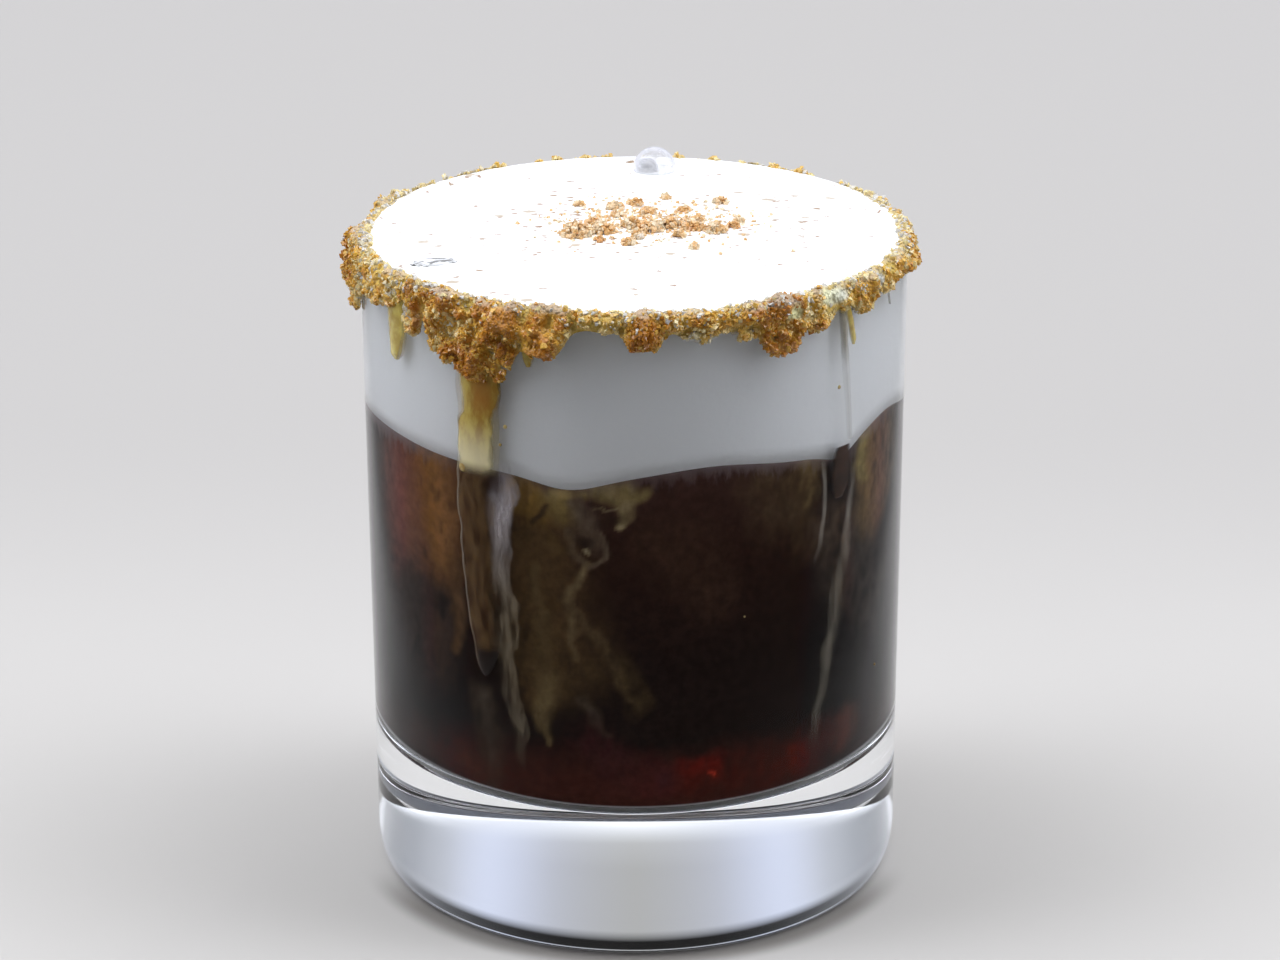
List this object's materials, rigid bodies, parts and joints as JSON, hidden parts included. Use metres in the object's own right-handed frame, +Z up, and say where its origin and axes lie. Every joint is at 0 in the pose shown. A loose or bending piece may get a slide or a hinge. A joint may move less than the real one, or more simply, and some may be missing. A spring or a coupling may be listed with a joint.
{
  "type": "iced einspanner",
  "caption": "Iced black coffee under a deep layer of soft cream in a heavy-based tumbler, its rim crusted with golden sugar that runs down in syrup.",
  "frame": {"origin": "middle of the glass's flat base, which it stands on", "axes": "+Z up along the glass, -Y towards the front that the picture shows, +X to the right in that view"},
  "size_m": [0.0853, 0.0847, 0.1018],
  "materials": {
    "clear_glass": "clear, polished, colourless",
    "coffee": "dark brown liquid with a red glow low down",
    "cream": "soft white with a faint sheen",
    "sugar_crust": "golden-brown crystals wet with syrup",
    "syrup_film": "thin clear film"
  },
  "bodies": {
    "root": {"glass": "clear_glass", "coffee": "coffee", "cream": "cream", "sugar_rim": "sugar_crust", "bubble": "syrup_film"}
  },
  "joints": []
}
